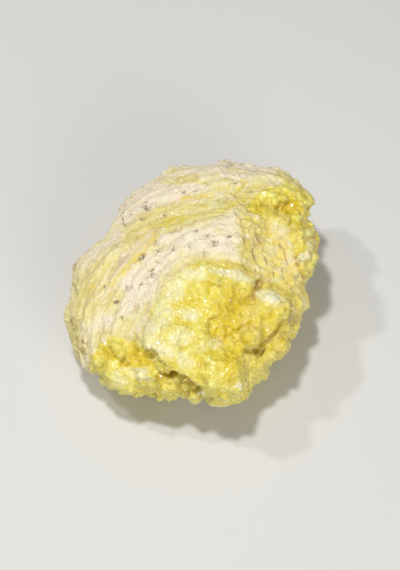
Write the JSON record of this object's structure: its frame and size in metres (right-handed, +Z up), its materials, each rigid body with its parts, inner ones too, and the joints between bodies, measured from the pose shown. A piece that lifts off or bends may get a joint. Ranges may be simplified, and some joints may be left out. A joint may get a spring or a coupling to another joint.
{
  "type": "native sulfur crystal specimen",
  "caption": "Rough hand-sized lump of native sulfur, yellow crystals on pale fibrous rock, resting on its flat broken underside.",
  "frame": {"origin": "middle of the lump's footprint, on the flat underside it rests on", "axes": "+Z up; the broad display face leans towards -Y; the lump's longest way runs along Y"},
  "size_m": [0.0962, 0.1058, 0.0528],
  "materials": {
    "native_sulfur": "sugary, glassy yellow crystals on matt pale fibrous matrix"
  },
  "bodies": {
    "root": {"sulfur_specimen": "native_sulfur"}
  },
  "joints": []
}
